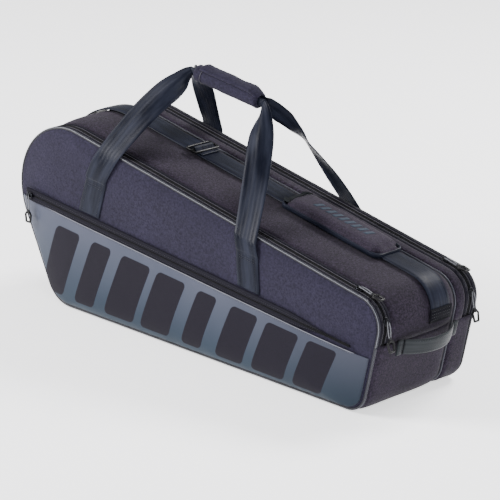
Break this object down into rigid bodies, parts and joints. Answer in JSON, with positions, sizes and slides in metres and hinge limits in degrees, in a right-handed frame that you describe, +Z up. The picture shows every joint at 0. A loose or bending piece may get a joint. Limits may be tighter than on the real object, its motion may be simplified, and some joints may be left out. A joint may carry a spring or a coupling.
{
  "type": "racket tournament bag",
  "caption": "Soft zipped bag for tennis rackets with two compartments, a coated front pocket, two carrying handles joined by a padded grip, an end handle and a shoulder strap.",
  "frame": {"origin": "on the flat underside, midway along the bag and a little in front of the divider between the compartments", "axes": "+X along the bag towards the end where the racket handles lie, -Y out of the front with the pocket, +Z up"},
  "size_m": [0.7826, 0.2422, 0.4107],
  "materials": {
    "shell_fabric": "dense woven polyester, matt, near-black with a violet cast",
    "coated_panel": "satin coated fabric, blue-grey, with plain dark shapes printed on it",
    "webbing": "smooth woven webbing with a silky highlight",
    "zip_tape": "woven zip tape with a moulded coil",
    "piping": "thin silver-grey piping",
    "lining": "plain lining over padding",
    "metal": "dark nickel plate",
    "plastic": "moulded black plastic"
  },
  "bodies": {
    "root": {"main_gusset_top": "shell_fabric", "main_gusset_head_end": "shell_fabric", "main_gusset_base": "shell_fabric", "main_gusset_handle_end": "shell_fabric", "rear_gusset_top": "shell_fabric", "rear_gusset_head_end": "shell_fabric", "rear_gusset_base": "shell_fabric", "rear_gusset_handle_end": "shell_fabric", "front_panel_lower": "shell_fabric", "rear_panel_lower": "shell_fabric", "front_zip_inner_tape": "zip_tape", "rear_zip_inner_tape": "zip_tape", "front_piping_lower": "piping", "rear_piping_lower": "piping", "middle_piping": "piping", "divider": "lining", "base_board": "lining", "pocket_zip_upper_tape": "zip_tape", "shoulder_strap": "webbing", "strap_patch_handle_end": "webbing", "strap_patch_head_end": "webbing", "end_handle_tab_front": "webbing", "end_handle_tab_rear": "webbing"},
    "front_flap": {"front_panel_upper": "shell_fabric", "front_piping_upper": "piping", "front_zip_outer_tape": "zip_tape", "front_webbing_left": "webbing", "front_webbing_right": "webbing"},
    "front_handle": {"front_handle_webbing": "webbing", "front_grip_wrap": "shell_fabric"},
    "front_upper_slider": {"front_upper_slider": "metal"},
    "front_upper_pull": {"front_upper_pull_wire": "metal", "front_upper_pull_tab": "plastic"},
    "front_lower_slider": {"front_lower_slider": "metal"},
    "front_lower_pull": {"front_lower_pull_wire": "metal", "front_lower_pull_tab": "plastic"},
    "rear_flap": {"rear_panel_upper": "shell_fabric", "rear_piping_upper": "piping", "rear_zip_outer_tape": "zip_tape", "rear_webbing_left": "webbing", "rear_webbing_right": "webbing"},
    "rear_handle": {"rear_handle_webbing": "webbing", "rear_grip_wrap": "shell_fabric"},
    "rear_upper_slider": {"rear_upper_slider": "metal"},
    "rear_upper_pull": {"rear_upper_pull_wire": "metal", "rear_upper_pull_tab": "plastic"},
    "rear_lower_slider": {"rear_lower_slider": "metal"},
    "rear_lower_pull": {"rear_lower_pull_wire": "metal", "rear_lower_pull_tab": "plastic"},
    "pocket": {"pocket_panel": "coated_panel", "pocket_zip_lower_tape": "zip_tape"},
    "pocket_slider": {"pocket_slider": "metal"},
    "pocket_pull": {"pocket_pull_wire": "metal", "pocket_pull_tab": "plastic"},
    "end_handle": {"end_handle": "webbing"},
    "shoulder_pad": {"shoulder_pad": "shell_fabric"},
    "strap_adjuster": {"strap_adjuster": "plastic"}
  },
  "joints": [
    {"name": "front_flap_open", "type": "hinge", "parent": "root", "child": "front_flap", "pos_m": [0, -0.135, 0.14515], "axis": [0.9949, 0, -0.1007], "range_deg": [0, 75]},
    {"name": "front_handle_swing", "type": "hinge", "parent": "front_flap", "child": "front_handle", "pos_m": [-0.19, -0.12205, 0.226], "axis": [0.9936, 0, -0.1132], "range_deg": [0, 95]},
    {"name": "front_upper_slide", "type": "slide", "parent": "front_flap", "child": "front_upper_slider", "axis": [-0.9824, 0, 0.1866], "range_m": [0, 0.56]},
    {"name": "front_upper_pull_swing", "type": "hinge", "parent": "front_upper_slider", "child": "front_upper_pull", "pos_m": [0.32312, -0.0964, 0.18272], "axis": [0, -1, 0], "range_deg": [0, 150]},
    {"name": "front_lower_turn", "type": "hinge", "parent": "front_flap", "child": "front_lower_slider", "pos_m": [0.33171, -0.0964, 0.13426], "axis": [0, -1, 0], "range_deg": [0, 20]},
    {"name": "front_lower_pull_swing", "type": "hinge", "parent": "front_lower_slider", "child": "front_lower_pull", "pos_m": [0.37635, -0.0964, 0.14539], "axis": [0, -1, 0], "range_deg": [0, 90]},
    {"name": "rear_flap_open", "type": "hinge", "parent": "root", "child": "rear_flap", "pos_m": [0, 0.125, 0.14515], "axis": [-0.9949, 0, 0.1007], "range_deg": [0, 75]},
    {"name": "rear_handle_swing", "type": "hinge", "parent": "rear_flap", "child": "rear_handle", "pos_m": [-0.19, 0.11205, 0.226], "axis": [-0.9936, 0, 0.1132], "range_deg": [0, 95]},
    {"name": "rear_upper_slide", "type": "slide", "parent": "rear_flap", "child": "rear_upper_slider", "axis": [-0.9824, 0, 0.1866], "range_m": [0, 0.56]},
    {"name": "rear_upper_pull_swing", "type": "hinge", "parent": "rear_upper_slider", "child": "rear_upper_pull", "pos_m": [0.32312, 0.0864, 0.18272], "axis": [0, -1, 0], "range_deg": [0, 150]},
    {"name": "rear_lower_turn", "type": "hinge", "parent": "rear_flap", "child": "rear_lower_slider", "pos_m": [0.33171, 0.0864, 0.13426], "axis": [0, -1, 0], "range_deg": [0, 20]},
    {"name": "rear_lower_pull_swing", "type": "hinge", "parent": "rear_lower_slider", "child": "rear_lower_pull", "pos_m": [0.37635, 0.0864, 0.14539], "axis": [0, -1, 0], "range_deg": [0, 90]},
    {"name": "pocket_open", "type": "hinge", "parent": "root", "child": "pocket", "pos_m": [0, -0.11808, 0.0105], "axis": [1, 0, 0], "range_deg": [0, 8]},
    {"name": "pocket_slide", "type": "slide", "parent": "pocket", "child": "pocket_slider", "axis": [0.9949, 0, -0.1007], "range_m": [0, 0.56]},
    {"name": "pocket_pull_swing", "type": "hinge", "parent": "pocket_slider", "child": "pocket_pull", "pos_m": [-0.338, -0.1268, 0.16934], "axis": [-1, 0, 0], "range_deg": [0, 100]},
    {"name": "end_handle_swing", "type": "hinge", "parent": "root", "child": "end_handle", "pos_m": [0.37806, -0.011, 0.1], "axis": [0, 1, 0], "range_deg": [-15, 15]},
    {"name": "shoulder_pad_slide", "type": "slide", "parent": "root", "child": "shoulder_pad", "axis": [0.9824, 0, -0.1866], "range_m": [-0.06, 0.03]},
    {"name": "strap_adjuster_slide", "type": "slide", "parent": "root", "child": "strap_adjuster", "axis": [0.9824, 0, -0.1866], "range_m": [-0.06, 0.08]}
  ]
}
